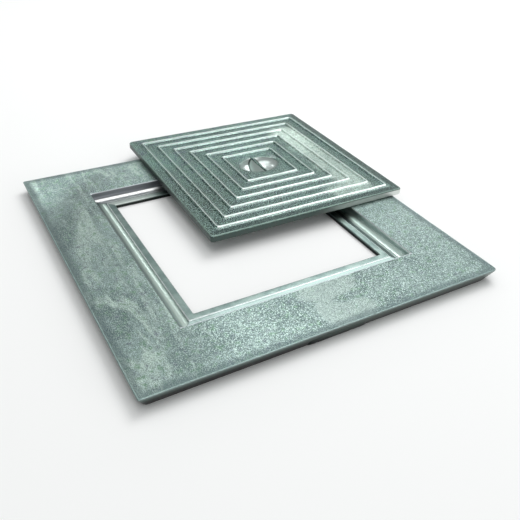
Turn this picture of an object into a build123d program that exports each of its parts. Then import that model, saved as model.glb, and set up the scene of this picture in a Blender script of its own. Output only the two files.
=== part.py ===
from build123d import *
import os
from math import radians, sqrt, tan

# A square access cover in cast aluminium: a flanged frame that is set in the ground, and a
# loose lid that a hand lifts by the bar in its middle. All sizes are millimetres.
# The origin is the middle of the frame, on the plane that the frame stands on. X runs along the
# frame's front side, Y towards its back, and Z up. Every "half" is measured from the frame's or
# the lid's own middle to one of its four equal sides.

# ---- Frame: driving dimensions ----
FRAME_HALF = 225.0          # top edge of the flange
FRAME_HEIGHT = 15.6         # standing plane to the top of the flange
SIDE_SLOPE = 23.0           # degrees that the outer sides lean in towards the bottom
TOP_CORNER = 2.5            # plan radius of the flange's corners, at the top
BOTTOM_CORNER = 6.0         # and at the bottom, where the sides have leaned in
BLUNT_TOP_CORNER = 6.0      # the same two radii at the front right corner, which is rounder
BLUNT_BOTTOM_CORNER = 14.0
FLANGE_THICKNESS = 6.0      # metal under the flange's top
RIM_THICKNESS = 7.0         # the turned-down outer rim, at its foot
EDGE_ROUND = 1.2            # rounding of the flange's long edges

# ---- Seat for the lid, cut in the frame ----
SEAT_HALF = 151.0           # foot of the wall round the lid
SEAT_FLARE = 0.3            # the wall stands this much further out at its top
SEAT_DEPTH = 9.85           # flange top down to the landing
SEAT_EDGE_ROUND = 1.6       # rounding between the flange's top and the wall
CHANNEL_DEPTH = 1.8         # channel floor below the landing
CHANNEL_COVE = 6.0          # radius of the cove from the wall into the channel
CHANNEL_RAMP_HALF = 141.0   # foot of the gentle ramp on the channel's inner side
CHANNEL_RAMP_ROUND = 8.0    # radius at the foot of that ramp
LANDING_OUTER_HALF = 135.0  # landing's outer edge, beside the channel
LANDING_OUTER_ROUND = 0.3
LIP_DEPTH = 0.5             # small step down from the landing's outer edge to the ramp
LIP_RUN = 0.4
LANDING_INNER_ROUND = 1.2   # rounding between the landing and the opening
OPENING_HALF = 126.3        # clear opening through the frame
RING_OUTER_HALF = 159.0     # outside of the solid ring below the seat

# ---- Pockets under the flange and under the lid ----
DRAFT = 3.0                 # degrees that the pockets' walls lean
POCKET_CORNER = 8.0         # plan radius at the outside of the frame's pocket
RING_CORNER = 5.0           # plan radius at the outside of the ring below the seat

# ---- Ribs under the flange ----
RIB_THICKNESS = 5.0
RIBS_PER_SIDE = 7           # straight ribs between the ring and the rim, on each side
RIB_GAP = 1.0               # ribs stop this far above the standing plane
RIB_ROOT = 4.0              # how far each end of a rib reaches into the ring and the rim

# ---- Pad left where the metal was poured in, on the front side ----
PAD_LENGTH = 78.0
PAD_OFFSET = -4.0           # along X from the middle of the front side
PAD_PROUD = 1.9             # how far the pad stands out from the sloping side, at its foot
PAD_TOP_GAP = 6.5           # below the flange's top

# ---- Lid: driving dimensions ----
LID_HALF = 148.0
LID_THICKNESS = 9.6
LID_CORNER = 4.5            # plan radius
LID_TOP_ROUND = 1.8
LID_BOTTOM_ROUND = 1.5
LID_PLATE = 5.5             # plate between the ribs of the underside
LID_BORDER = 27.0           # full-thickness border that bears on the landing
LID_RIB = 6.0               # thickness of the ribs under the plate
LID_RING_HALF = 62.0        # centre line of the square rib under the plate
LID_POCKET_CORNER = 6.0     # plan radius of the hollow inside the border
LID_RING_CORNER = 4.0       # plan radius at the outside of the square rib

# ---- Concentric ridges on the lid ----
RIDGE_COUNT = 6
RIDGE_OUTER_HALF = 132.0    # centre line of the outermost ridge
RIDGE_PITCH = 18.3
RIDGE_WIDTH = 7.0
RIDGE_HEIGHT = 1.5
RIDGE_CORNER = 4.5          # plan radius of a ridge's centre line
RIDGE_SINK = 0.4            # how far a ridge's section reaches into the plate

# ---- Finger recess in the middle of the lid ----
RECESS_LENGTH = 60.0        # across the bar
RECESS_WIDTH = 43.5         # along the bar
RECESS_DEPTH = 12.5
RECESS_EDGE_ROUND = 0.8     # rounding between the lid's top and the recess
CUP_WALL = 3.0              # metal round the recess, below the plate
CUP_TOP_GAP = 2.0           # the cup's outside starts this far below the lid's top
BAR_TOP = 3.6               # width of the bar, level with the lid
BAR_FOOT = 30.0             # width of the bar under the recess: its flanks lean about 40 degrees

# ---- Where the lid lies: on the flange, drawn back and to the right, with the opening uncovered
LID_X = 91.5
LID_Y = 118.7
LID_TURN = -0.42            # degrees about Z

MARGIN = 5.0                # overshoot of a cut past the surface that it cuts


def square(half, corner=0.0):
    """A square sketch about the origin, with rounded corners where a radius is given."""
    if corner:
        return RectangleRounded(2 * half, 2 * half, corner)
    return Rectangle(2 * half, 2 * half)


def prism(half, corner, low, high):
    """An upright square prism between two heights."""
    return Pos(0, 0, low) * extrude(square(half, corner), high - low)


def tapered(half_low, half_high, corner_low, corner_high, low, high):
    """A prism whose square section changes evenly from its bottom to its top."""
    bottom = Pos(0, 0, low) * square(half_low, corner_low)
    top = Pos(0, 0, high) * square(half_high, corner_high)
    return loft([bottom, top], ruled=True)


def blunted(half, corner, blunt_corner):
    """A square sketch whose front right corner is rounder than the other three."""
    outline = square(half)
    blunt_place = (half, -half)
    sharp_ones = outline.vertices().sort_by_distance(blunt_place)[1:]
    outline = fillet(sharp_ones, corner)
    return fillet(outline.vertices().sort_by_distance(blunt_place)[0], blunt_corner)


def mitred_ring(section, reach):
    """Carry a section, drawn in X and Z, along the four sides of a square and mitre the corners."""
    bar = extrude(section, reach, both=True)
    quarter = make_face(Polyline((0, 0), (reach, reach), (reach, -reach), close=True))
    wedge = Pos(0, 0, -reach) * extrude(quarter, 2 * reach)
    side = bar & wedge
    ring = side
    for turn in (90, 180, 270):
        ring += Rot(0, 0, turn) * side
    return ring


def outer_edges(solid, height, half):
    """The edges of a solid that lie at a height and within a given distance of its outside."""
    found = []
    for edge in solid.edges():
        box = edge.bounding_box()
        level = abs(box.min.Z - height) < 0.01 and abs(box.max.Z - height) < 0.01
        reach = max(abs(box.min.X), abs(box.max.X), abs(box.min.Y), abs(box.max.Y))
        if level and reach > half - 0.5:
            found.append(edge)
    return found


# ---------------------------------------------------------------- frame
def flange_blank():
    """The frame's outside: a slab whose four sides lean in towards the bottom."""
    # Rounding the sharp top edge draws it in, so the sharp edge starts that much further out.
    drawn_in = EDGE_ROUND / tan(radians(90 - SIDE_SLOPE) / 2) - EDGE_ROUND
    sharp_half = FRAME_HALF + drawn_in
    foot_half = sharp_half - FRAME_HEIGHT * tan(radians(SIDE_SLOPE))
    foot = blunted(foot_half, BOTTOM_CORNER, BLUNT_BOTTOM_CORNER)
    top = Pos(0, 0, FRAME_HEIGHT) * blunted(sharp_half, TOP_CORNER, BLUNT_TOP_CORNER)
    blank = loft([foot, top], ruled=True)
    blank = fillet(outer_edges(blank, FRAME_HEIGHT, sharp_half), EDGE_ROUND)
    return blank, foot_half


def gate_pad(foot_half):
    """The low pad on the front side, where the runner was cut off and dressed flat."""
    top = FRAME_HEIGHT - PAD_TOP_GAP
    lean_at_top = PAD_TOP_GAP * tan(radians(SIDE_SLOPE))
    inside = foot_half - RIM_THICKNESS / 2
    outline = Polyline(
        (-inside, 0), (-foot_half - PAD_PROUD, 0), (-FRAME_HALF + lean_at_top, top),
        (-inside, top), close=True)
    section = Plane.YZ * make_face(outline)
    return Pos(PAD_OFFSET, 0, 0) * extrude(section, PAD_LENGTH / 2, both=True)


def seat_cut():
    """What is taken out of the blank: the lid's seat, the channel in its floor, and the opening."""
    landing = FRAME_HEIGHT - SEAT_DEPTH
    floor = landing - CHANNEL_DEPTH
    core_half = OPENING_HALF - 4 * MARGIN
    outside = SEAT_HALF + 2 * MARGIN
    points = [
        (core_half, -MARGIN), (OPENING_HALF, -MARGIN), (OPENING_HALF, landing),
        (LANDING_OUTER_HALF, landing), (LANDING_OUTER_HALF + LIP_RUN, landing - LIP_DEPTH),
        (CHANNEL_RAMP_HALF, floor),
        (SEAT_HALF, floor), (SEAT_HALF + SEAT_FLARE, FRAME_HEIGHT),
        (outside, FRAME_HEIGHT), (outside, FRAME_HEIGHT + MARGIN),
        (core_half, FRAME_HEIGHT + MARGIN)]
    rounds = [
        0, 0, LANDING_INNER_ROUND,
        LANDING_OUTER_ROUND, 0,
        CHANNEL_RAMP_ROUND,
        CHANNEL_COVE, SEAT_EDGE_ROUND,
        0, 0,
        0]
    section = Plane.XZ * make_face(FilletPolyline(*points, radius=rounds, close=True))
    core = prism(core_half + MARGIN, 0, -MARGIN, FRAME_HEIGHT + MARGIN)
    return mitred_ring(section, outside + MARGIN) + core


def under_ribs(inner, outer):
    """Straight ribs between the ring and the rim on all four sides, and one in each corner."""
    height = FRAME_HEIGHT - FLANGE_THICKNESS - RIB_GAP
    middle_height = RIB_GAP + height / 2
    span = outer - inner + 2 * RIB_ROOT
    middle = (inner + outer) / 2
    straight = Pos(0, middle, middle_height) * Box(RIB_THICKNESS, span, height)
    diagonal = Pos(0, sqrt(2) * middle, middle_height) * Box(RIB_THICKNESS, sqrt(2) * span, height)
    first = -inner + RIB_THICKNESS / 2
    step = -2 * first / (RIBS_PER_SIDE - 1)
    ribs = []
    for turn in (0, 90, 180, 270):
        for number in range(RIBS_PER_SIDE):
            ribs.append(Rot(0, 0, turn) * Pos(first + number * step, 0, 0) * straight)
        ribs.append(Rot(0, 0, turn + 45) * diagonal)
    return ribs


def make_frame():
    blank, foot_half = flange_blank()
    ceiling = FRAME_HEIGHT - FLANGE_THICKNESS
    draft = ceiling * tan(radians(DRAFT))
    inside_rim = foot_half - RIM_THICKNESS
    pocket = tapered(inside_rim, inside_rim - draft, POCKET_CORNER, POCKET_CORNER, 0, ceiling)
    pocket -= tapered(RING_OUTER_HALF, RING_OUTER_HALF + draft, RING_CORNER, RING_CORNER, 0, ceiling)
    for rib in under_ribs(RING_OUTER_HALF, inside_rim):
        pocket -= rib
    return blank + gate_pad(foot_half) - pocket - seat_cut()


# ---------------------------------------------------------------- lid
def ridge(half):
    """One raised square ridge: a low arc carried round a square with rounded corners."""
    path = Wire(square(half, RIDGE_CORNER).wire().edges())
    start = path.position_at(0)
    across = path.tangent_at(0).cross(Vector(0, 0, 1))
    place = Plane(origin=start, x_dir=across, z_dir=path.tangent_at(0))
    arc = ThreePointArc((-RIDGE_WIDTH / 2, 0), (0, RIDGE_HEIGHT), (RIDGE_WIDTH / 2, 0))
    foot = Polyline(
        (RIDGE_WIDTH / 2, 0), (RIDGE_WIDTH / 2, -RIDGE_SINK),
        (-RIDGE_WIDTH / 2, -RIDGE_SINK), (-RIDGE_WIDTH / 2, 0))
    section = make_face([arc, foot])
    upright = section if place.y_dir.Z > 0 else mirror(section, Plane.XZ)
    return sweep(place * upright, path)


def ellipsoid(length, width, depth):
    """A ball squeezed to three half axes, centred on the origin."""
    return scale(Sphere(1), by=(length / 2, width / 2, depth))


def bar():
    """The web that splits the recess and is pinched to lift the lid."""
    foot = -RECESS_DEPTH - CUP_WALL
    outline = Polyline(
        (-BAR_TOP / 2, 0), (BAR_TOP / 2, 0), (BAR_FOOT / 2, foot), (-BAR_FOOT / 2, foot), close=True)
    web = extrude(Plane.XZ * make_face(outline), RECESS_WIDTH, both=True)
    # The web's ends and foot are buried halfway into the metal round the recess.
    return web & ellipsoid(
        RECESS_LENGTH + CUP_WALL, RECESS_WIDTH + CUP_WALL, RECESS_DEPTH + CUP_WALL / 2)


def rim_edges(plate):
    """The edges where the recess meets the lid's top."""
    found = []
    for edge in plate.edges():
        box = edge.bounding_box()
        level = abs(box.min.Z - LID_THICKNESS) < 0.01 and abs(box.max.Z - LID_THICKNESS) < 0.01
        if level and max(abs(box.min.X), abs(box.max.X)) < RECESS_LENGTH:
            found.append(edge)
    return found


def make_lid():
    """The lid about its own middle, with its underside at height 0."""
    plate = prism(LID_HALF, LID_CORNER, 0, LID_THICKNESS)
    plate = fillet(outer_edges(plate, LID_THICKNESS, LID_HALF), LID_TOP_ROUND)
    plate = fillet(outer_edges(plate, 0, LID_HALF), LID_BOTTOM_ROUND)

    inside = LID_HALF - LID_BORDER
    hollow = LID_THICKNESS - LID_PLATE
    draft = hollow * tan(radians(DRAFT))
    pocket = tapered(inside, inside - draft, LID_POCKET_CORNER, LID_POCKET_CORNER, 0, hollow)
    beam = 2 * LID_HALF * sqrt(2)
    for turn in (0, 45, 90, 135):
        pocket -= Rot(0, 0, turn) * Box(beam, LID_RIB, 4 * hollow)
    ring_outside = prism(LID_RING_HALF + LID_RIB / 2, LID_RING_CORNER, -MARGIN, hollow + MARGIN)
    ring_inside = prism(LID_RING_HALF - LID_RIB / 2, LID_RING_CORNER / 2, -MARGIN, hollow + MARGIN)
    pocket -= ring_outside - ring_inside
    plate -= pocket

    top = Pos(0, 0, LID_THICKNESS)
    skin = 2 * CUP_WALL
    cup = ellipsoid(RECESS_LENGTH + skin, RECESS_WIDTH + skin, RECESS_DEPTH + CUP_WALL)
    cup &= prism(RECESS_LENGTH, 0, -RECESS_DEPTH - skin, -CUP_TOP_GAP)
    plate += top * cup
    plate -= top * ellipsoid(RECESS_LENGTH, RECESS_WIDTH, RECESS_DEPTH)
    plate = fillet(rim_edges(plate), RECESS_EDGE_ROUND)
    plate += top * bar()
    for number in range(RIDGE_COUNT):
        plate += top * ridge(RIDGE_OUTER_HALF - number * RIDGE_PITCH)
    return plate


def main():
    lid_place = Pos(LID_X, LID_Y, FRAME_HEIGHT) * Rot(0, 0, LID_TURN)
    os.makedirs("parts", exist_ok=True)
    export_step(make_frame(), "parts/frame.step")
    export_step(lid_place * make_lid(), "parts/lid.step")


main()
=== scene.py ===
from math import acos, atan2, cos, hypot, radians, sin, sqrt, tan

import bmesh
import bpy
from mathutils import Matrix, Vector, noise


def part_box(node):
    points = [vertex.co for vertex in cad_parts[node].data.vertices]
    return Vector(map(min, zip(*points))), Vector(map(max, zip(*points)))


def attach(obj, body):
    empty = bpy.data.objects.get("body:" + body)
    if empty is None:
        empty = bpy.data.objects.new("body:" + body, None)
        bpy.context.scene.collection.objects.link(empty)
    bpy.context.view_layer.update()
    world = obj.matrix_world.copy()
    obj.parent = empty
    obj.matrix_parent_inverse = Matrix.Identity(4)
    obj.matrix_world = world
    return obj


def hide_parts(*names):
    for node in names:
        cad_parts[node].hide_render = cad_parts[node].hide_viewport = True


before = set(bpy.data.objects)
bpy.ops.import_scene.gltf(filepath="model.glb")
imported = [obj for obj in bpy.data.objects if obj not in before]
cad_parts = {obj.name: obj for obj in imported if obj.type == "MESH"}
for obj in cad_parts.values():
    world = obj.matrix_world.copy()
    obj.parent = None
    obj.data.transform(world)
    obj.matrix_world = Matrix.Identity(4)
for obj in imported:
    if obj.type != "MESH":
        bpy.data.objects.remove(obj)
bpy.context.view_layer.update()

# ------------------------------------------------------------------ sizes, in metres and radians
MM = 0.001
FRAME_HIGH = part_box("frame")[1]
LID_LOW, LID_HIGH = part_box("lid")
FRAME_HALF = FRAME_HIGH[0]
FRAME_TOP = FRAME_HIGH[2]
SIDE_SLOPE = radians(23)
FOOT_HALF = FRAME_HALF - FRAME_TOP * tan(SIDE_SLOPE)
SHARP_OUT = 0.6 * MM        # the sides stand this far out before their edges are rounded
TOP_CORNER = 2.5 * MM
BOTTOM_CORNER = 6 * MM
BLUNT_TOP_CORNER = 6 * MM
BLUNT_BOTTOM_CORNER = 14 * MM
SEAT_HALF = 151 * MM
LANDING = FRAME_TOP - 9.85 * MM
CHANNEL_FLOOR = LANDING - 1.8 * MM
LANDING_OUTER = 135 * MM
OPENING_HALF = 126.3 * MM
RING_OUTER = 159 * MM
CEILING = FRAME_TOP - 6 * MM
RIM_THICKNESS = 7 * MM
RIB = 5 * MM
RIBS_PER_SIDE = 7
PAD_MIDDLE = -4 * MM
PAD_HALF = 39 * MM
PAD_HEIGHT = 9.1 * MM
PAD_PROUD = 1.9 * MM
PAD_SOFT_END = 2.2 * MM

LID_HALF = 148 * MM
LID_THICKNESS = 9.6 * MM
LID_CORNER = 4.5 * MM
LID_UNDER = FRAME_TOP
LID_TOP = LID_UNDER + LID_THICKNESS
LID_TURN = radians(-0.42)
LID_MIDDLE = ((LID_LOW[0] + LID_HIGH[0]) / 2, (LID_LOW[1] + LID_HIGH[1]) / 2)
LID_PLATE_UNDER = LID_THICKNESS - 5.5 * MM
LID_BORDER = 121 * MM
LID_RIB = 6 * MM
SQUARE_RIB_OUTER = 65 * MM
SQUARE_RIB_INNER = 59 * MM
RIDGE_COUNT = 6
RIDGE_OUTER = 132 * MM
RIDGE_PITCH = 18.3 * MM
RIDGE_WIDTH = 7 * MM
RIDGE_HEIGHT = 1.5 * MM
RIDGE_CORNER = 4.5 * MM
RIDGE_INNER = RIDGE_OUTER - (RIDGE_COUNT - 1) * RIDGE_PITCH
RECESS = (30 * MM, 21.75 * MM, 12.5 * MM)
CUP_WALL = 3 * MM
CUP = tuple(size + CUP_WALL for size in RECESS)
BAR_TOP = 3.6 * MM
BAR_FOOT = 30 * MM
BAR_LEAN = (BAR_FOOT - BAR_TOP) / 2 / CUP[2]
BAR_CROWN = 1.1 * MM

SIDE_STEPS = 104            # points along each straight side of a ring
CORNER_STEPS = 8            # points round each of its corners


# ------------------------------------------------------------------ meshes from square rings
def turned(x, y, angle):
    """A point turned about Z."""
    return x * cos(angle) - y * sin(angle), x * sin(angle) + y * cos(angle)


def square_ring(half, corner, z, blunt=None):
    """The points of a rounded square, anticlockwise, with the same count for every size.

    The corner at the front right takes the blunt radius, where one is given."""
    radii = [corner, corner, corner, blunt or corner]
    points = []
    for turn in range(4):
        radius = radii[turn]
        start, end = radii[turn - 1] - half, half - radius
        quarter = []
        for step in range(SIDE_STEPS):
            quarter.append((half, start + (end - start) * step / SIDE_STEPS))
        for step in range(CORNER_STEPS):
            angle = radians(90) * step / CORNER_STEPS
            quarter.append((end + radius * cos(angle), end + radius * sin(angle)))
        for x, y in quarter:
            x, y = turned(x, y, radians(90) * turn)
            points.append(Vector((x, y, z)))
    return points


def oval_ring(half_x, half_y, z, like):
    """The points of an ellipse, each in the same direction as that point of another ring."""
    points = []
    for point in like:
        angle = atan2(point.y, point.x)
        reach = 1 / hypot(cos(angle) / half_x, sin(angle) / half_y)
        points.append(Vector((reach * cos(angle), reach * sin(angle), z)))
    return points


def rounded(corners):
    """A profile through (reach, height, radius) corners, each rounded with a few points."""
    out = []
    for before, here, after in zip([corners[-1]] + corners[:-1], corners, corners[1:] + corners[:1]):
        place = Vector(here[:2])
        radius = here[2]
        if not radius:
            out.append(tuple(place))
            continue
        to_before = (Vector(before[:2]) - place).normalized()
        to_after = (Vector(after[:2]) - place).normalized()
        half_angle = to_before.angle(to_after) / 2
        middle = place + (to_before + to_after).normalized() * (radius / sin(half_angle))
        cut = radius / tan(half_angle)
        first = place + to_before * cut - middle
        last = place + to_after * cut - middle
        steps = max(3, round(first.angle(last) * (radius / MM) ** 0.5 * 4))
        for step in range(steps + 1):
            share = step / steps
            spin = first.lerp(last, share).normalized() * radius
            out.append(tuple(middle + spin))
    return out


def shell(bm, rings, around=False):
    """Faces between rings, in order; the last ring joins the first, or both ends are closed."""
    made = [[bm.verts.new(point) for point in ring] for ring in rings]
    pairs = list(zip(made, made[1:]))
    if around:
        pairs.append((made[-1], made[0]))
    for low, high in pairs:
        count = len(low)
        for index in range(count):
            after = (index + 1) % count
            bm.faces.new((low[index], low[after], high[after], high[index]))
    if not around:
        for ring, flip in ((made[0], True), (made[-1], False)):
            middle = bm.verts.new(sum((v.co for v in ring), Vector()) / len(ring))
            for index, vert in enumerate(ring):
                after = ring[(index + 1) % len(ring)]
                bm.faces.new((after, vert, middle) if flip else (vert, after, middle))


def block(bm, low, high, turn):
    """A closed bar between two corners, turned about Z."""
    verts = []
    for z in (low[2], high[2]):
        for x, y in ((low[0], low[1]), (high[0], low[1]), (high[0], high[1]), (low[0], high[1])):
            verts.append(bm.verts.new((*turned(x, y, turn), z)))
    for face in ((3, 2, 1, 0), (4, 5, 6, 7), (0, 1, 5, 4), (1, 2, 6, 5), (2, 3, 7, 6), (3, 0, 4, 7)):
        bm.faces.new([verts[index] for index in face])


def uneven(point, size, depth, seed=0.0):
    """A smooth random value, from about -depth to depth, with bumps of the given size."""
    return depth * noise.noise(Vector((point.x / size + seed, point.y / size - seed, point.z / size)))


def finished(name, bm, body, material):
    """Turns the mesh into a piece that rides on a body and stands for its CAD node."""
    bmesh.ops.recalc_face_normals(bm, faces=bm.faces)
    mesh = bpy.data.meshes.new(name)
    bm.to_mesh(mesh)
    bm.free()
    for polygon in mesh.polygons:
        polygon.use_smooth = True
    mesh.set_sharp_from_angle(angle=radians(50))
    piece = bpy.data.objects.new(name, mesh)
    bpy.context.scene.collection.objects.link(piece)
    mesh.materials.append(material)
    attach(piece, body)
    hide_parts(body)


# ------------------------------------------------------------------ frame
def frame_profile():
    """The frame's section, from the outer foot up, over the flange and down through the opening."""
    foot = FOOT_HALF + SHARP_OUT
    inside_rim = foot - RIM_THICKNESS
    draft = 0.5 * MM
    return rounded([
        (foot, 0, 0.8 * MM),
        (FRAME_HALF + SHARP_OUT, FRAME_TOP, 1.3 * MM),
        (200 * MM, FRAME_TOP, 0), (175 * MM, FRAME_TOP, 0),
        (SEAT_HALF + 0.3 * MM, FRAME_TOP, 1.7 * MM),
        (SEAT_HALF, CHANNEL_FLOOR, 6 * MM),
        (LANDING_OUTER + 6 * MM, CHANNEL_FLOOR, 8 * MM),
        (LANDING_OUTER + 0.4 * MM, LANDING - 0.5 * MM, 0.3 * MM),
        (LANDING_OUTER, LANDING, 0.25 * MM),
        (OPENING_HALF, LANDING, 1.3 * MM),
        (OPENING_HALF, 0, 0.6 * MM),
        (RING_OUTER, 0, 0.6 * MM),
        (RING_OUTER + draft, CEILING, 1.5 * MM),
        (inside_rim - draft, CEILING, 1.5 * MM),
        (inside_rim, 0, 0.6 * MM)])


def frame_corner(half, z, at_top, at_foot):
    """Plan radius of the frame's rings, from its outside corners in to the opening."""
    if half > FRAME_HALF - 8 * MM:
        return at_top + (at_foot - at_top) * (1 - z / FRAME_TOP)
    if half > RING_OUTER:
        if z < CEILING + 1 * MM:
            return 8 * MM
        return at_top * (half - SEAT_HALF) / (FRAME_HALF - SEAT_HALF) + 1.5 * MM
    if half > 140 * MM and z > 1 * MM:
        return 2.2 * MM
    return 1.6 * MM


def frame_piece(material):
    """The frame's casting, with slightly wavy faces, which are calmer in the seat."""
    bm = bmesh.new()
    rings = []
    for half, z in frame_profile():
        corner = frame_corner(half, z, TOP_CORNER, BOTTOM_CORNER)
        blunt = frame_corner(half, z, BLUNT_TOP_CORNER, BLUNT_BOTTOM_CORNER)
        rings.append(square_ring(half, corner, z, blunt))
    shell(bm, rings, around=True)
    bm.normal_update()
    bmesh.ops.recalc_face_normals(bm, faces=bm.faces)
    for vert in bm.verts:
        sag = uneven(vert.co, 45 * MM, 0.16 * MM) + uneven(vert.co, 9 * MM, 0.10 * MM, 3.0)
        if max(abs(vert.co.x), abs(vert.co.y)) < SEAT_HALF - 0.5 * MM:
            sag *= 0.15
        vert.co += vert.normal * (sag - 0.2 * MM) * min(1, vert.co.z / (2 * MM))
        vert.co.z = min(max(vert.co.z, 0), FRAME_TOP)
    under_ribs(bm)
    gate_pad(bm)
    finished("frame_casting", bm, "frame", material)


def under_ribs(bm):
    """Ribs under the flange: a row on each side, and one across each corner."""
    inside_rim = FOOT_HALF - RIM_THICKNESS
    first = -RING_OUTER + RIB / 2
    step = -2 * first / (RIBS_PER_SIDE - 1)
    for turn in range(4):
        for number in range(RIBS_PER_SIDE):
            along = first + number * step
            low = (along - RIB / 2, RING_OUTER - 4 * MM, 1 * MM)
            high = (along + RIB / 2, inside_rim + 4 * MM, CEILING + 2 * MM)
            block(bm, low, high, radians(90) * turn)
        low = (-RIB / 2, (RING_OUTER - 4 * MM) * sqrt(2), 1 * MM)
        high = (RIB / 2, (inside_rim + 2 * MM) * sqrt(2), CEILING + 2 * MM)
        block(bm, low, high, radians(45 + 90 * turn))


def gate_pad(bm):
    """The low pad left on the front side, with soft edges and an uneven face."""
    foot = FOOT_HALF + SHARP_OUT
    rings = []
    steps, levels = 26, 12
    for level in range(levels + 1):
        share = level / levels
        z = PAD_HEIGHT * share
        proud = PAD_PROUD * (1 - share) * min(1.0, 0.55 + 2.2 * share)
        face = foot + z * tan(SIDE_SLOPE) + proud
        ring = []
        for number in range(steps + 1):
            across = 2 * number / steps - 1
            soft = 1 - abs(across) ** 14
            y = -(face - PAD_SOFT_END * (1 - soft))
            ring.append(Vector((PAD_MIDDLE + PAD_HALF * across, y, z)))
        for end in (PAD_HALF, -PAD_HALF):
            ring.append(Vector((PAD_MIDDLE + end, -(foot - 4 * MM), z)))
        for point in ring[:steps + 1]:
            point.y += max(0.0, uneven(point, 6 * MM, 0.35 * MM, 9.0))
        rings.append(ring)
    shell(bm, rings)


# ------------------------------------------------------------------ lid
def ridge_height(across):
    """Height of a ridge's arc at a distance from its middle."""
    half = RIDGE_WIDTH / 2
    if abs(across) >= half:
        return 0.0
    radius = (half * half + RIDGE_HEIGHT * RIDGE_HEIGHT) / (2 * RIDGE_HEIGHT)
    return sqrt(radius * radius - across * across) - (radius - RIDGE_HEIGHT)


def lid_rings():
    """The lid's skin as rings, from the bottom of the cup round to the bottom of the recess."""
    cup_rings, bowl_rings = 18, 20
    first_square = 60 * MM
    under = rounded([
        (0, LID_PLATE_UNDER, 0), (first_square, LID_PLATE_UNDER, 0),
        (LID_BORDER - 0.2 * MM, LID_PLATE_UNDER, 1.2 * MM), (LID_BORDER, 0, 0.5 * MM),
        (LID_HALF, 0, 1.6 * MM), (LID_HALF, LID_THICKNESS, 1.9 * MM), (0, LID_THICKNESS, 0)])[1:-1]
    rings = []
    like = square_ring(first_square, 6 * MM, 0)
    lean_at_plate = acos((LID_THICKNESS - LID_PLATE_UNDER) / CUP[2])
    for number in range(1, cup_rings + 1):
        lean = lean_at_plate * number / cup_rings
        z = LID_THICKNESS - CUP[2] * cos(lean)
        rings.append(oval_ring(CUP[0] * sin(lean), CUP[1] * sin(lean), z, like))
    for half, z in under:
        if half > LID_BORDER + 2 * MM:
            corner = LID_CORNER * (1 - (LID_HALF - half) / (30 * MM))
        else:
            corner = 6 * MM
        rings.append(square_ring(half, corner, z))
    reach = LID_HALF - 3.4 * MM
    offsets = (1.18, 1, 0.8, 0.6, 0.42, 0.24, 0.06, -0.12, -0.28, -0.45, -0.62, -0.8, -1, -1.18)
    rings.append(square_ring(reach, LID_CORNER - 2 * MM, LID_THICKNESS))
    rings.append(square_ring((reach + RIDGE_OUTER) / 2, LID_CORNER - 2 * MM, LID_THICKNESS))
    for number in range(RIDGE_COUNT):
        middle = RIDGE_OUTER - number * RIDGE_PITCH
        for offset in offsets:
            across = offset * RIDGE_WIDTH / 2
            z = LID_THICKNESS + ridge_height(across)
            rings.append(square_ring(middle + across, RIDGE_CORNER + across, z))
        if number < RIDGE_COUNT - 1:
            for share in (0.35, 0.5, 0.65):
                rings.append(square_ring(middle - share * RIDGE_PITCH, RIDGE_CORNER, LID_THICKNESS))
    last = rings[-1]
    edge = oval_ring(RECESS[0] + 1.2 * MM, RECESS[1] + 1.2 * MM, LID_THICKNESS, last)
    for share in (0.35, 0.7, 1.0):
        rings.append([a.lerp(b, share) for a, b in zip(last, edge)])
    rim = ((0.75, 0.08), (0.42, 0.28), (0.2, 0.6), (0.08, 1.05))    # out and down, in mm
    for out, down in rim:
        rings.append(oval_ring(RECESS[0] + out * MM, RECESS[1] + out * MM, LID_THICKNESS - down * MM, last))
    for number in range(2, bowl_rings):
        share = cos(radians(90) * number / bowl_rings)
        z = LID_THICKNESS - RECESS[2] * sqrt(1 - share * share)
        rings.append(oval_ring(RECESS[0] * share, RECESS[1] * share, z, last))
    return rings


def lid_piece(material):
    """The lid's casting, with slightly wavy faces and uneven ridges, turned and placed as it lies."""
    bm = bmesh.new()
    shell(bm, lid_rings())
    bmesh.ops.recalc_face_normals(bm, faces=bm.faces)
    bm.normal_update()
    for vert in bm.verts:
        spot = vert.co.copy()
        near_top = min(1, max(0, (spot.z - LID_THICKNESS + 1 * MM) / MM))
        above_plate = max(0, spot.z - LID_THICKNESS)
        vert.co.z -= above_plate * (0.16 + uneven(spot, 14 * MM, 0.22))
        vert.co.x += uneven(spot, 16 * MM, 0.2 * MM, 5.0) * near_top
        vert.co.y += uneven(spot, 16 * MM, 0.2 * MM, 8.0) * near_top
        sag = uneven(spot, 30 * MM, 0.14 * MM) + uneven(spot, 7 * MM, 0.09 * MM, 3.0)
        vert.co += vert.normal * (sag - 0.18 * MM) * min(1, max(0.1, spot.z / (3 * MM)))
        if spot.z >= 0:
            vert.co.z = max(vert.co.z, 0)
    under_lid(bm)
    recess_bar(bm)
    for vert in bm.verts:
        x, y = turned(vert.co.x, vert.co.y, LID_TURN)
        vert.co.x = min(LID_MIDDLE[0] + x, LID_HIGH[0])
        vert.co.y = min(LID_MIDDLE[1] + y, LID_HIGH[1])
        vert.co.z = vert.co.z + LID_UNDER
    finished("lid_casting", bm, "lid", material)


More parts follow.
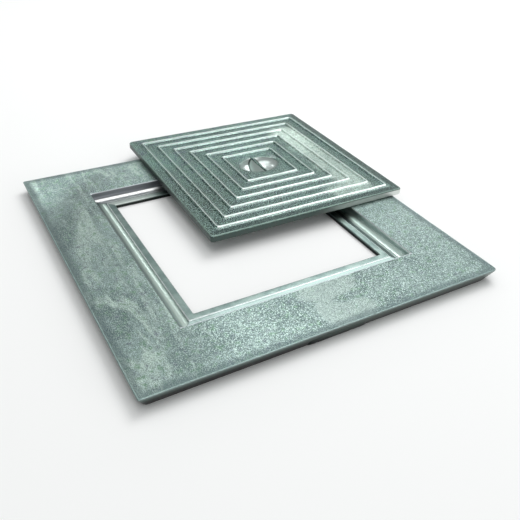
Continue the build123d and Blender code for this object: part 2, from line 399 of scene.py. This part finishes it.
def under_lid(bm):
    """Ribs across the underside, and a square one round the middle."""
    top = LID_PLATE_UNDER + 1 * MM
    low = 0.1 * MM
    levels = 5
    for turn in range(8):
        angle = radians(45) * turn
        length = (LID_BORDER + 3 * MM) * (sqrt(2) if turn % 2 else 1)
        rings = []
        for level in range(levels + 1):
            z = low + (top - low) * level / levels
            share = sqrt(1 - ((LID_THICKNESS - z) / RECESS[2]) ** 2)
            start = share / hypot(cos(angle) / RECESS[0], sin(angle) / RECESS[1]) + 1.2 * MM
            ends = ((start, -1), (length, -1), (length, 1), (start, 1))
            rings.append([Vector((*turned(far, side * LID_RIB / 2, angle), z)) for far, side in ends])
        shell(bm, rings)
    rings = []
    for z in (low, top):
        rings.append(square_ring(SQUARE_RIB_OUTER, 4 * MM, z))
    for z in (top, low):
        rings.append(square_ring(SQUARE_RIB_INNER, 2 * MM, z))
    shell(bm, rings, around=True)


def recess_bar(bm):
    """The web between the two bowls, with a rounded top, sunk into the recess's walls."""
    top = []
    for number in range(9):
        angle = radians(180) * number / 8
        top.append((BAR_TOP / 2 * cos(angle), BAR_CROWN * sin(angle) - BAR_CROWN))
    rings = []
    steps = 32
    reach = RECESS[1] + 0.9 * MM
    sunk = 1.4 * MM
    for number in range(steps + 1):
        y = reach * (2 * number / steps - 1)
        dip = 0.45 * MM * (1 - (y / reach) ** 2)
        deep = (RECESS[2] + sunk) * sqrt(max(0.0, 1 - (y / (RECESS[1] + sunk)) ** 2))
        deep = max(deep, 1.5 * MM)
        out = BAR_TOP / 2 + BAR_LEAN * deep
        flank = []
        for share in (0.25, 0.5, 0.75, 1.0):
            flank.append((BAR_TOP / 2 + (out - BAR_TOP / 2) * share, -BAR_CROWN - (deep - BAR_CROWN) * share))
        section = [(x, z - dip) for x, z in top]
        section += [(-x, z) for x, z in flank]
        section += reversed(flank)
        rings.append([Vector((x, y, LID_THICKNESS + z)) for x, z in section])
    shell(bm, rings)


# ------------------------------------------------------------------ camera
def place_camera():
    """The camera stands at the front left, looks down at the cover and is slightly rolled."""
    azimuth, elevation, roll = radians(-31.25), radians(35.19), radians(3.05)
    distance = 0.7523
    aim = Vector((-0.0140, -0.0723, 0.0059))
    back = Vector((sin(azimuth) * cos(elevation), -cos(azimuth) * cos(elevation), sin(elevation)))
    right = (-back).cross(Vector((0, 0, 1))).normalized()
    up = right.cross(-back)
    across = cos(roll) * right + sin(roll) * up
    upward = -sin(roll) * right + cos(roll) * up
    data = bpy.data.cameras.new("camera")
    data.sensor_width = 36
    data.lens = 43.2
    data.clip_start = 0.01
    camera = bpy.data.objects.new("camera", data)
    bpy.context.scene.collection.objects.link(camera)
    turn = Matrix((across, upward, back)).transposed().to_4x4()
    camera.matrix_world = Matrix.Translation(aim + back * distance) @ turn
    bpy.context.scene.camera = camera


# ------------------------------------------------------------------ material building
class Nodes:
    """A few short names for the nodes that the materials are made of."""

    def __init__(self, name):
        self.material = bpy.data.materials.new(name)
        self.material.use_nodes = True
        self.tree = self.material.node_tree
        self.shader = self.tree.nodes["Principled BSDF"]

    def put(self, socket, value):
        """Links a socket, or sets it to a plain value."""
        if isinstance(value, bpy.types.NodeSocket):
            self.tree.links.new(value, socket)
        elif value is not None:
            socket.default_value = value

    def math(self, operation, a, b=None, clamp=False):
        node = self.tree.nodes.new("ShaderNodeMath")
        node.operation = operation
        node.use_clamp = clamp
        for socket, value in zip(node.inputs, (a, b)):
            self.put(socket, value)
        return node.outputs[0]

    def add(self, a, b):
        return self.math("ADD", a, b)

    def times(self, a, b):
        return self.math("MULTIPLY", a, b)

    def less(self, a, b, clamp=False):
        return self.math("SUBTRACT", a, b, clamp)

    def larger(self, a, b, clamp=False):
        return self.math("MAXIMUM", a, b, clamp)

    def size(self, value):
        return self.math("ABSOLUTE", value)

    def step(self, value, start, end, low=0.0, high=1.0):
        """A smooth change from low to high as the value goes from start to end."""
        node = self.tree.nodes.new("ShaderNodeMapRange")
        node.interpolation_type = "SMOOTHSTEP"
        self.put(node.inputs["Value"], value)
        self.put(node.inputs["From Min"], start)
        self.put(node.inputs["From Max"], end)
        self.put(node.inputs["To Min"], low)
        self.put(node.inputs["To Max"], high)
        return node.outputs["Result"]

    def band(self, value, start, full, fade, end):
        """1 from full to fade, falling smoothly to 0 at start and at end."""
        return self.times(self.step(value, start, full), self.step(value, end, fade))

    def coordinates(self, place=(0, 0, 0), turn=(0, 0, 0), scale=(1, 1, 1)):
        """The piece's own coordinates, seen from a place on it."""
        source = self.tree.nodes.new("ShaderNodeTexCoord")
        shift = self.tree.nodes.new("ShaderNodeMapping")
        shift.inputs["Location"].default_value = [-value for value in place]
        self.put(shift.inputs["Vector"], source.outputs["Object"])
        spin = self.tree.nodes.new("ShaderNodeMapping")
        spin.inputs["Rotation"].default_value = [-value for value in turn]
        spin.inputs["Scale"].default_value = scale
        self.put(spin.inputs["Vector"], shift.outputs["Vector"])
        return spin.outputs["Vector"]

    def split(self, vector):
        node = self.tree.nodes.new("ShaderNodeSeparateXYZ")
        self.put(node.inputs[0], vector)
        return node.outputs

    def noise(self, vector, scale, detail=3.0, roughness=0.5, distortion=0.0):
        node = self.tree.nodes.new("ShaderNodeTexNoise")
        self.put(node.inputs["Vector"], vector)
        node.inputs["Scale"].default_value = scale
        node.inputs["Detail"].default_value = detail
        node.inputs["Roughness"].default_value = roughness
        node.inputs["Distortion"].default_value = distortion
        return node.outputs["Fac"]

    def mix(self, factor, a, b, blend="MIX"):
        node = self.tree.nodes.new("ShaderNodeMix")
        node.data_type = "RGBA"
        node.blend_type = blend
        self.put(node.inputs["Factor"], factor)
        for socket, value in ((node.inputs[6], a), (node.inputs[7], b)):
            if isinstance(value, tuple):
                value = (*value, 1.0)
            self.put(socket, value)
        return node.outputs[2]

    def grey(self, value):
        """A number as a colour, which may be over 1."""
        node = self.tree.nodes.new("ShaderNodeCombineColor")
        for socket in node.inputs:
            self.put(socket, value)
        return node.outputs[0]

    def dimmed(self, colour, level):
        """A colour times a level, which may be over 1."""
        return self.mix(1.0, colour, self.grey(level), "MULTIPLY")

    def ramp(self, value, stops):
        """A colour from a few (place, colour) stops."""
        node = self.tree.nodes.new("ShaderNodeValToRGB")
        self.put(node.inputs[0], value)
        elements = node.color_ramp.elements
        while len(elements) < len(stops):
            elements.new(0.5)
        for element, (place, colour) in zip(elements, stops):
            element.position = place
            element.color = (*colour, 1.0)
        return node.outputs["Color"]

    def bump(self, height, distance, strength=1.0, normal=None):
        node = self.tree.nodes.new("ShaderNodeBump")
        node.inputs["Strength"].default_value = strength
        node.inputs["Distance"].default_value = distance
        self.put(node.inputs["Height"], height)
        if normal is not None:
            self.put(node.inputs["Normal"], normal)
        return node.outputs["Normal"]

    def square_reach(self, vector):
        """How far a point lies from the middle, measured square to the nearest side."""
        x, y, _ = self.split(vector)
        return self.larger(self.size(x), self.size(y))

    def patch(self, vector, middle, size, soft, ragged):
        """1 inside an ellipse, falling to 0 outside it, with an uneven border."""
        x, y, _ = self.split(vector)
        across = self.math("DIVIDE", self.less(x, middle[0]), size[0])
        along = self.math("DIVIDE", self.less(y, middle[1]), size[1])
        far = self.math("SQRT", self.add(self.times(across, across), self.times(along, along)))
        wave = self.noise(vector, 45, 5, 0.65)
        far = self.add(far, self.times(self.less(wave, 0.5), ragged))
        return self.step(far, 1 + soft / 2, 1 - soft / 2)


def speckled(n, where, base, amount, light, dark):
    """Sand-cast grain: light and dark specks of one to three millimetres over a base colour."""
    fine = n.noise(where, 1000, 1.0, 0.5)
    coarse = n.noise(where, 480, 2.0, 0.6)
    sand = n.add(n.times(fine, 0.72), n.times(coarse, 0.28))
    colour = n.mix(n.times(n.step(sand, 0.48, 0.36), amount), base, dark)
    colour = n.mix(n.times(n.step(sand, 0.52, 0.61), amount), colour, light)
    return colour, sand


def frame_material():
    n = Nodes("frame_cast")
    where = n.coordinates()
    x, y, z = n.split(where)
    reach = n.square_reach(where)
    clouds = n.noise(where, 13, 6, 0.62, 0.6)
    wear = n.noise(where, 60, 5, 0.6)
    left, front, back = seat_sides(n, x, y)
    wall = n.step(reach, SEAT_HALF - 6.5 * MM, SEAT_HALF - 3.5 * MM)
    channel = n.band(reach, LANDING_OUTER - 0.2 * MM, LANDING_OUTER + 0.6 * MM,
                     SEAT_HALF - 6.5 * MM, SEAT_HALF - 3.5 * MM)
    on_top = n.times(n.step(z, FRAME_TOP - 1.3 * MM, FRAME_TOP - 0.5 * MM),
                     n.step(reach, SEAT_HALF + 0.8 * MM, SEAT_HALF + 2 * MM))

    sanded, sand = flange_colour(n, where, reach, clouds)
    # Painted highlight along the rounded front edge of the seat, broken up by the wear noise.
    edge_wave = n.add(reach, n.times(n.noise(where, 90, 4, 0.6), 1.2 * MM))
    front_edge_highlight = n.times(n.step(edge_wave, SEAT_HALF + 3.2 * MM, SEAT_HALF + 2.4 * MM), front)
    front_edge_highlight = n.times(front_edge_highlight, n.step(wear, 0.30, 0.42))
    sanded = n.mix(n.times(front_edge_highlight, 0.85), sanded, (0.74, 0.77, 0.84))

    smooth = n.mix(n.step(wear, 0.35, 0.65), (0.15, 0.21, 0.20), (0.23, 0.30, 0.28))
    # Painted light on the back side of the seat, towards the left.
    smooth = n.mix(n.times(back, n.step(x, -0.05, -0.10)), smooth, (0.50, 0.56, 0.53))
    smooth = n.mix(channel, smooth, channel_colour(n, reach, left, front, back))
    smooth = n.mix(wall, smooth, wall_colour(n, left, front, back))
    smooth = seat_lines(n, z, reach, wear, wall, smooth, left, front, back)
    colour = n.mix(on_top, smooth, sanded)

    side = n.times(n.step(z, FRAME_TOP - 0.4 * MM, FRAME_TOP - 1.6 * MM),
                   n.step(reach, FRAME_HALF - 17.5 * MM, FRAME_HALF - 15.5 * MM))
    colour = n.mix(side, colour, outside_colour(n, x, z))
    # Painted shade: the opening's inner wall below the landing is painted near black.
    shaded_throat = n.times(n.step(z, LANDING - 1.0 * MM, LANDING - 2.0 * MM),
                     n.step(reach, OPENING_HALF + 2.2 * MM, OPENING_HALF + 0.9 * MM))
    colour = n.mix(n.times(shaded_throat, 0.95), colour, (0.006, 0.008, 0.008))
    n.put(n.shader.inputs["Base Color"], colour)
    n.shader.inputs["Metallic"].default_value = 1.0

    seat_rough = n.mix(n.larger(channel, wall), (0.40,) * 3, (0.28,) * 3)
    seat_rough = n.mix(n.times(back, wall), seat_rough, (0.42,) * 3)
    flange_rough = n.ramp(clouds, [(0.3, (0.34,) * 3), (0.7, (0.46,) * 3)])
    n.put(n.shader.inputs["Roughness"], n.mix(on_top, seat_rough, flange_rough))
    height = n.times(sand, n.add(n.times(on_top, 0.97), 0.03))
    fine = n.bump(height, 0.9 * MM, 1.0)
    n.put(n.shader.inputs["Normal"], n.bump(clouds, 4 * MM, 0.3, fine))
    return n.material


def flange_colour(n, where, reach, clouds):
    """The flange's colour and grain: clouds, smears and tints, the rubbed patch, painted light and shade
    across it, and the rim with its dark band and painted highlight.
    """
    x, y, _ = n.split(where)
    cloudy = n.larger(n.step(x, -0.09, -0.19), n.step(y, 0.13, 0.19), clamp=True)
    base = n.mix(n.step(clouds, 0.33, 0.66), (0.12, 0.175, 0.17), (0.25, 0.335, 0.32))
    smear = n.noise(n.coordinates(turn=(0, 0, radians(38)), scale=(1, 0.3, 1)), 30, 7, 0.68, 1.4)
    smeared = n.times(n.step(smear, 0.48, 0.64), n.add(n.times(cloudy, 0.80), 0.12))
    base = n.mix(smeared, base, (0.42, 0.53, 0.48))
    tint = n.noise(where, 150, 3, 0.6)
    bluish = n.times(n.step(tint, 0.42, 0.30), 0.8)
    base = n.mix(bluish, base, (0.135, 0.16, 0.195))
    greenish = n.times(n.step(tint, 0.54, 0.68), 0.8)
    base = n.mix(greenish, base, (0.15, 0.27, 0.18))
    rubbed = rubbed_patch(n, where)
    base = n.mix(n.times(rubbed, 0.62), base, (0.40, 0.49, 0.46))
    amount = n.less(0.76, n.add(n.times(cloudy, 0.36), n.times(rubbed, 0.35)), clamp=True)
    colour, sand = speckled(n, where, base, amount, (0.62, 0.77, 0.73), (0.07, 0.105, 0.10))

    # Painted light and shade: the flange is darker at its far left edge and on the right, and lighter towards
    # the back-left corner.
    level = n.times(n.step(x, -0.17, -0.10, 0.80, 1.10), n.step(x, -0.05, 0.02, 1.0, 0.79))
    level = n.times(level, n.step(n.less(y, x), 0.32, 0.38, 0.95, 1.95))
    colour = n.dimmed(colour, level)
    rim_wave = n.add(reach, n.times(n.noise(where, 35, 4, 0.6), 10 * MM))
    rim_band = n.step(rim_wave, FRAME_HALF - 7.5 * MM, FRAME_HALF - 0.5 * MM)
    colour = n.mix(n.times(rim_band, 0.62), colour, (0.09, 0.125, 0.13))
    # Painted highlight along the rounded outer edge of the flange.
    rim_highlight = n.band(reach, FRAME_HALF - 2.2 * MM, FRAME_HALF - 1.4 * MM,
                      FRAME_HALF - 0.7 * MM, FRAME_HALF - 0.1 * MM)
    colour = n.mix(n.times(rim_highlight, 0.6), colour, (0.36, 0.47, 0.45))
    return colour, sand


def rubbed_patch(n, where):
    """The pale rubbed patch on the front of the flange, less the scar across it."""
    pale = n.patch(where, (0.019, -0.164), (0.036, 0.021), soft=0.30, ragged=0.9)
    pale = n.larger(pale, n.patch(where, (0.008, -0.201), (0.021, 0.027), soft=0.30, ragged=0.9))
    pale = n.larger(pale, n.patch(where, (0.034, -0.209), (0.019, 0.015), soft=0.30, ragged=0.9))
    scar = n.patch(where, (0.032, -0.187), (0.017, 0.007), soft=0.6, ragged=1.2)
    scar = n.larger(scar, n.patch(where, (0.031, -0.204), (0.0012, 0.006), soft=0.6, ragged=1.5))
    return n.times(pale, n.less(1.0, n.times(scar, 0.85)))


def seat_sides(n, x, y):
    """1 on the left, the front and the back side of the square; all three are 0 on the right."""
    far_x, far_y = n.size(x), n.size(y)
    left = n.step(n.add(x, far_y), 1 * MM, -1 * MM)
    front = n.step(n.add(y, far_x), 1 * MM, -1 * MM)
    back = n.step(n.less(y, far_x), -1 * MM, 1 * MM)
    return left, front, back


def channel_colour(n, reach, left, front, back):
    """The seat's channel, in painted light and shade that differ by side: painted shade on its dark inner
    slope and a painted highlight on its bright outer one, strongest at the back, a band on the left, and dark
    at the front.
    """
    right_ramp = n.mix(n.step(reach, LANDING_OUTER + 5.5 * MM, SEAT_HALF - 6.5 * MM),
                       (0.16, 0.20, 0.20), (0.46, 0.52, 0.50))
    # Painted highlight band across the channel on the left side.
    bright = n.band(reach, LANDING_OUTER + 1.2 * MM, LANDING_OUTER + 5.0 * MM,
                    LANDING_OUTER + 6.5 * MM, LANDING_OUTER + 11.5 * MM)
    left_ramp = n.mix(bright, (0.17, 0.23, 0.21), (0.52, 0.63, 0.58))
    back_ramp = n.mix(n.step(reach, LANDING_OUTER + 2.2 * MM, LANDING_OUTER + 5.0 * MM),
                      (0.20, 0.25, 0.24), (0.80, 0.84, 0.83))
    ramp = n.mix(back, right_ramp, back_ramp)
    ramp = n.mix(front, ramp, (0.17, 0.22, 0.21))
    return n.mix(left, ramp, left_ramp)


def wall_colour(n, left, front, back):
    """The seat's wall: painted light makes it pale on the right, and painted shade makes it darker on the
    other sides.
    """
    colour = n.mix(left, (0.80, 0.98, 0.92), (0.11, 0.14, 0.14))
    colour = n.mix(back, colour, (0.22, 0.23, 0.25))
    return n.mix(front, colour, (0.52, 0.55, 0.60))


def seat_lines(n, z, reach, wear, wall, colour, left, front, back):
    """The seat's painted highlights: in the cove at the back, on the lip of the landing and along the upper
    edge.
    """
    cove = n.band(reach, SEAT_HALF - 7.0 * MM, SEAT_HALF - 5.5 * MM,
                  SEAT_HALF - 2.0 * MM, SEAT_HALF - 0.8 * MM)
    cove = n.times(n.times(cove, back), n.step(wear, 0.30, 0.45, 0.6, 1.0))
    colour = n.mix(cove, colour, (0.98, 1.0, 0.99))
    lip = n.band(reach, LANDING_OUTER - 0.5 * MM, LANDING_OUTER - 0.1 * MM,
                 LANDING_OUTER + 0.5 * MM, LANDING_OUTER + 1.0 * MM)
    colour = n.mix(n.times(lip, n.step(front, 0, 1, 0.9, 0.75)), colour, (0.86, 0.92, 0.92))
    upper_edge_highlight = n.times(n.step(z, FRAME_TOP - 1.5 * MM, FRAME_TOP - 0.4 * MM), wall)
    return n.mix(n.times(upper_edge_highlight, n.less(1.0, left)), colour, (0.82, 0.87, 0.90))


def outside_colour(n, x, z):
    """The frame's outer sides, with painted shade: near black at the foot and darker towards the left."""
    height_share = n.step(z, 1 * MM, FRAME_TOP - 1 * MM)
    dark_side = n.ramp(height_share, [
        (0.0, (0.004, 0.005, 0.005)), (0.45, (0.03, 0.04, 0.037)), (1.0, (0.17, 0.23, 0.21))])
    pale_side = n.ramp(height_share, [
        (0.0, (0.035, 0.042, 0.040)), (0.3, (0.09, 0.115, 0.105)), (1.0, (0.15, 0.20, 0.18))])
    return n.mix(n.step(x, -0.055, -0.005), dark_side, pale_side)


def lid_material():
    n = Nodes("lid_cast")
    where = n.coordinates(place=(*LID_MIDDLE, 0), turn=(0, 0, LID_TURN))
    x, y, z = n.split(where)
    reach = ridge_reach(n, where)
    clouds = n.noise(where, 24, 6, 0.62, 0.5)
    drift = n.times(n.less(n.noise(where, 40, 6, 0.66), 0.5), 0.055)
    right = n.step(n.less(n.size(y), x), 4 * MM, -4 * MM)
    front = n.step(n.add(n.size(x), y), 4 * MM, -4 * MM)
    crest, flank = ridge_masks(n, x, y, reach)
    worn = worn_band(n, where, drift)
    # Painted shade on the border outside the ridges, on the right and front sides.
    border = n.times(n.step(reach, RIDGE_OUTER + 5 * MM, RIDGE_OUTER + 6.5 * MM), n.larger(right, front))

    base = field_colour(n, where, clouds, worn)
    base = n.mix(n.times(border, 0.85), base, (0.016, 0.028, 0.027))
    # Painted shade on the ridges' sides that face the front and the left, weaker on the worn band.
    flank_shade = n.less(0.68, n.times(worn, 0.50))
    base = n.mix(n.times(flank, flank_shade), base, (0.014, 0.019, 0.030))
    grain = n.less(0.85, n.times(border, 0.50))
    sanded, sand = speckled(n, where, base, grain, (0.42, 0.62, 0.55), (0.008, 0.016, 0.018))
    # Painted highlight along the ridges' crests.
    colour = n.mix(n.times(crest, 0.9), sanded, (0.80, 0.90, 0.87))

    # Painted highlight along the lid's rounded top edge.
    brow_highlight = n.times(n.step(reach, LID_HALF - 2.2 * MM, LID_HALF - 1.4 * MM),
                   n.step(z, LID_TOP - 1.6 * MM, LID_TOP - 1.0 * MM))
    colour = n.mix(n.times(brow_highlight, 0.6), colour, (0.28, 0.38, 0.34))
    # Painted reflection on the lid's side faces: dark on the left, paler to the right, most of all on the
    # front.
    side = n.times(n.step(z, LID_TOP - 1.4 * MM, LID_TOP - 2.2 * MM),
                   n.step(reach, LID_HALF - 1.8 * MM, LID_HALF - 0.8 * MM))
    edge_light = n.step(n.add(x, n.times(drift, 0.6)), 0.00, 0.075)
    edge_light = n.times(edge_light, n.step(front, 0, 1, 0.4, 1.0))
    colour = n.mix(side, colour, n.mix(edge_light, (0.075, 0.10, 0.092), (0.66, 0.70, 0.67)))

    deep = n.less(LID_TOP, z)
    in_bowl = n.times(n.step(deep, 0.5 * MM, 1.4 * MM), n.step(reach, 40 * MM, 36 * MM))
    in_bowl = n.times(in_bowl, n.step(n.size(x), BAR_TOP / 2 - 0.4 * MM, BAR_TOP / 2 + 0.1 * MM))
    colour = n.mix(in_bowl, colour, bowl_colour(n, x, y, deep))
    # Painted highlight on the far rims of the bowls.
    far_rim_highlight = n.band(deep, 0.15 * MM, 0.5 * MM, 1.3 * MM, 1.9 * MM)
    far_rim_highlight = n.times(n.times(far_rim_highlight, n.step(y, 5 * MM, 13 * MM)), n.step(reach, 36 * MM, 33 * MM))
    far_rim_highlight = n.times(far_rim_highlight, n.step(n.size(x), BAR_TOP / 2 + 0.4 * MM, BAR_TOP / 2 + 1.4 * MM))
    colour = n.mix(n.times(far_rim_highlight, 0.8), colour, (0.86, 0.93, 0.91))
    n.put(n.shader.inputs["Base Color"], colour)
    n.shader.inputs["Metallic"].default_value = 1.0

    smooth = n.larger(crest, in_bowl)
    cast_rough = n.ramp(clouds, [(0.3, (0.30,) * 3), (0.7, (0.42,) * 3)])
    n.put(n.shader.inputs["Roughness"], n.mix(smooth, cast_rough, (0.30,) * 3))
    height = n.times(sand, n.less(1.0, n.times(smooth, 0.8)))
    fine = n.bump(height, 0.6 * MM, 1.0)
    n.put(n.shader.inputs["Normal"], n.bump(clouds, 3 * MM, 0.3, fine))
    return n.material


def ridge_reach(n, where):
    """square_reach, but round the corners as the ridges go."""
    x, y, _ = n.split(where)
    x, y = n.size(x), n.size(y)
    far = n.larger(x, y)
    gap = n.math("MINIMUM", n.size(n.less(x, y)), RIDGE_CORNER)
    root = n.math("SQRT", n.less(2 * RIDGE_CORNER ** 2, n.times(gap, gap)))
    return n.add(n.less(far, n.times(n.add(gap, root), 0.5)), RIDGE_CORNER)


def ridge_masks(n, x, y, reach):
    """1 where the ridges' crests get a painted highlight, and 1 on their sides which face the front and the
    left, which get painted shade.
    """
    step_in = n.less(RIDGE_OUTER + RIDGE_PITCH / 2, reach)
    inward = n.less(n.math("MODULO", step_in, RIDGE_PITCH), RIDGE_PITCH / 2)
    outward = n.times(inward, -1.0)
    to_back = n.times(outward, n.math("SIGN", y))
    to_right = n.times(outward, n.math("SIGN", x))
    ridged = n.band(reach, RIDGE_INNER - 7 * MM, RIDGE_INNER - 4.5 * MM,
                    RIDGE_OUTER + 4.5 * MM, RIDGE_OUTER + 5.5 * MM)
    leaning = n.less(n.size(y), n.size(x))
    along_x = n.step(leaning, -1 * MM, 1 * MM)
    along_y = n.step(leaning, 1 * MM, -1 * MM)
    wide = n.band(to_back, -2.0 * MM, -0.8 * MM, 1.9 * MM, 2.5 * MM)
    fade = n.band(to_back, -6.0 * MM, -2.0 * MM, 1.9 * MM, 2.5 * MM)
    wide = n.larger(wide, n.times(fade, 0.22))
    narrow = n.band(to_right, -0.4 * MM, 0.1 * MM, 0.8 * MM, 1.3 * MM)
    crest = n.add(n.times(wide, along_x), n.times(n.times(narrow, along_y), 0.58))
    near_side = n.step(to_back, -2.0 * MM, -5.0 * MM)
    left_side = n.band(to_right, -4.5 * MM, -3.0 * MM, -1.6 * MM, -0.6 * MM)
    flank = n.add(n.times(near_side, along_x), n.times(n.times(left_side, along_y), 0.35))
    return n.times(crest, ridged), n.times(flank, ridged)


def worn_band(n, where, drift):
    """1 on the rubbed band along the right of the lid, with an uneven border."""
    x, y, _ = n.split(where)
    worn = n.times(n.step(n.add(x, drift), 0.062, 0.086), n.step(x, 0.1165, 0.1125))
    along = n.add(y, drift)
    worn = n.times(worn, n.band(along, -0.140, -0.110, 0.085, 0.118))
    front_end = n.patch(where, (0.080, -0.116), (0.035, 0.018), soft=0.6, ragged=1.2)
    return n.larger(worn, n.times(front_end, 0.85))


def field_colour(n, where, clouds, worn):
    """The lid's plate between the ridges, dark green to blue, pale where it is worn, with painted light and
    shade across it.
    """
    x, y, _ = n.split(where)
    base = n.mix(n.step(clouds, 0.35, 0.65), (0.022, 0.052, 0.046), (0.070, 0.142, 0.122))
    tint = n.noise(where, 140, 4, 0.65)
    base = n.mix(n.step(tint, 0.46, 0.34), base, (0.030, 0.038, 0.080))
    base = n.mix(n.times(n.step(tint, 0.54, 0.68), 0.8), base, (0.060, 0.140, 0.080))
    broken = n.step(n.noise(where, 260, 4, 0.7), 0.36, 0.62, 0.42, 0.92)
    base = n.mix(n.times(worn, broken), base, (0.62, 0.73, 0.66))
    # Painted light and shade: darker at the front, lighter at the back, darker at the front-left corner and
    # on the right where it is not worn.
    base = n.dimmed(base, n.step(y, -0.03, 0.07, 0.60, 1.22))
    base = n.dimmed(base, n.step(n.add(x, y), -0.20, -0.04, 0.60, 1.0))
    unworn_right = n.less(x, n.times(worn, 0.1))
    return n.dimmed(base, n.step(unworn_right, 0.01, 0.08, 1.0, 0.72))


def bowl_colour(n, x, y, deep):
    """The recess: bright bowls with painted shade beside the bar, and the bar's two flanks in painted light
    and shade.
    """
    off_bar = n.less(n.size(x), n.add(n.times(deep, BAR_LEAN), BAR_TOP / 2))
    on_flank = n.step(off_bar, 0.9 * MM, 0.2 * MM)
    shade = n.times(n.step(off_bar, 2.6 * MM, 0.3 * MM), n.step(y, -4 * MM, 16 * MM, 0.25, 1.0))
    bowl = n.mix(n.times(shade, 0.9), (0.60, 0.67, 0.65), (0.03, 0.04, 0.04))
    from_middle = n.add(n.times(n.times(x, x), RECESS[0] ** -2), n.times(n.times(y, y), RECESS[1] ** -2))
    from_middle = n.add(from_middle, n.times(n.times(deep, deep), RECESS[2] ** -2))
    # Painted light and shade on the bar's flanks: the left one darkens towards the bowls, the right one is
    # dark.
    left_flank = n.mix(n.step(from_middle, 0.70, 0.99), (0.50, 0.59, 0.56), (0.10, 0.13, 0.12))
    flank = n.mix(n.step(x, -1.5 * MM, -2.5 * MM), (0.10, 0.13, 0.12), left_flank)
    return n.mix(on_flank, bowl, flank)


# ------------------------------------------------------------------ studio
def area_light(name, place, size, power, aim=(0, 0, 0)):
    """A rectangular light at a place, aimed at another."""
    data = bpy.data.lights.new(name, "AREA")
    data.shape = "RECTANGLE"
    data.size, data.size_y = size
    data.energy = power
    light = bpy.data.objects.new(name, data)
    bpy.context.scene.collection.objects.link(light)
    light.location = place
    light.rotation_euler = (Vector(aim) - Vector(place)).to_track_quat("-Z", "Y").to_euler()


def studio():
    """Even pale surroundings, five large lights and the floor."""
    world = bpy.data.worlds.new("world")
    bpy.context.scene.world = world
    world.use_nodes = True
    background = world.node_tree.nodes["Background"]
    background.inputs["Color"].default_value = (0.97, 1.0, 0.99, 1)
    background.inputs["Strength"].default_value = 0.45
    area_light("softbox_main", (1.25, 0.90, 1.98), size=(1.5, 1.5), power=33)
    area_light("strip_back", (-0.10, 2.00, 1.64), size=(0.12, 0.9), power=2.0)
    area_light("softbox_top", (-0.3, -0.3, 3.0), size=(2.2, 2.2), power=20)
    area_light("fill_front", (1.0, -2.2, 0.5), size=(1.6, 0.8), power=10)
    area_light("backdrop", (1.6, 3.0, 0.55), size=(4.5, 0.9), power=16, aim=(0, 0, 0.1))

    bpy.ops.mesh.primitive_plane_add(size=12, location=(0, 0, 0))
    floor = bpy.context.object
    floor.name = "floor"
    n = Nodes("floor_pale")
    n.shader.inputs["Base Color"].default_value = (0.93, 0.93, 0.93, 1)
    n.shader.inputs["Roughness"].default_value = 0.9
    n.shader.inputs["Specular IOR Level"].default_value = 0.1
    floor.data.materials.append(n.material)
    bpy.context.scene.view_settings.view_transform = "Standard"


def main():
    place_camera()
    frame_piece(frame_material())
    lid_piece(lid_material())
    studio()


main()
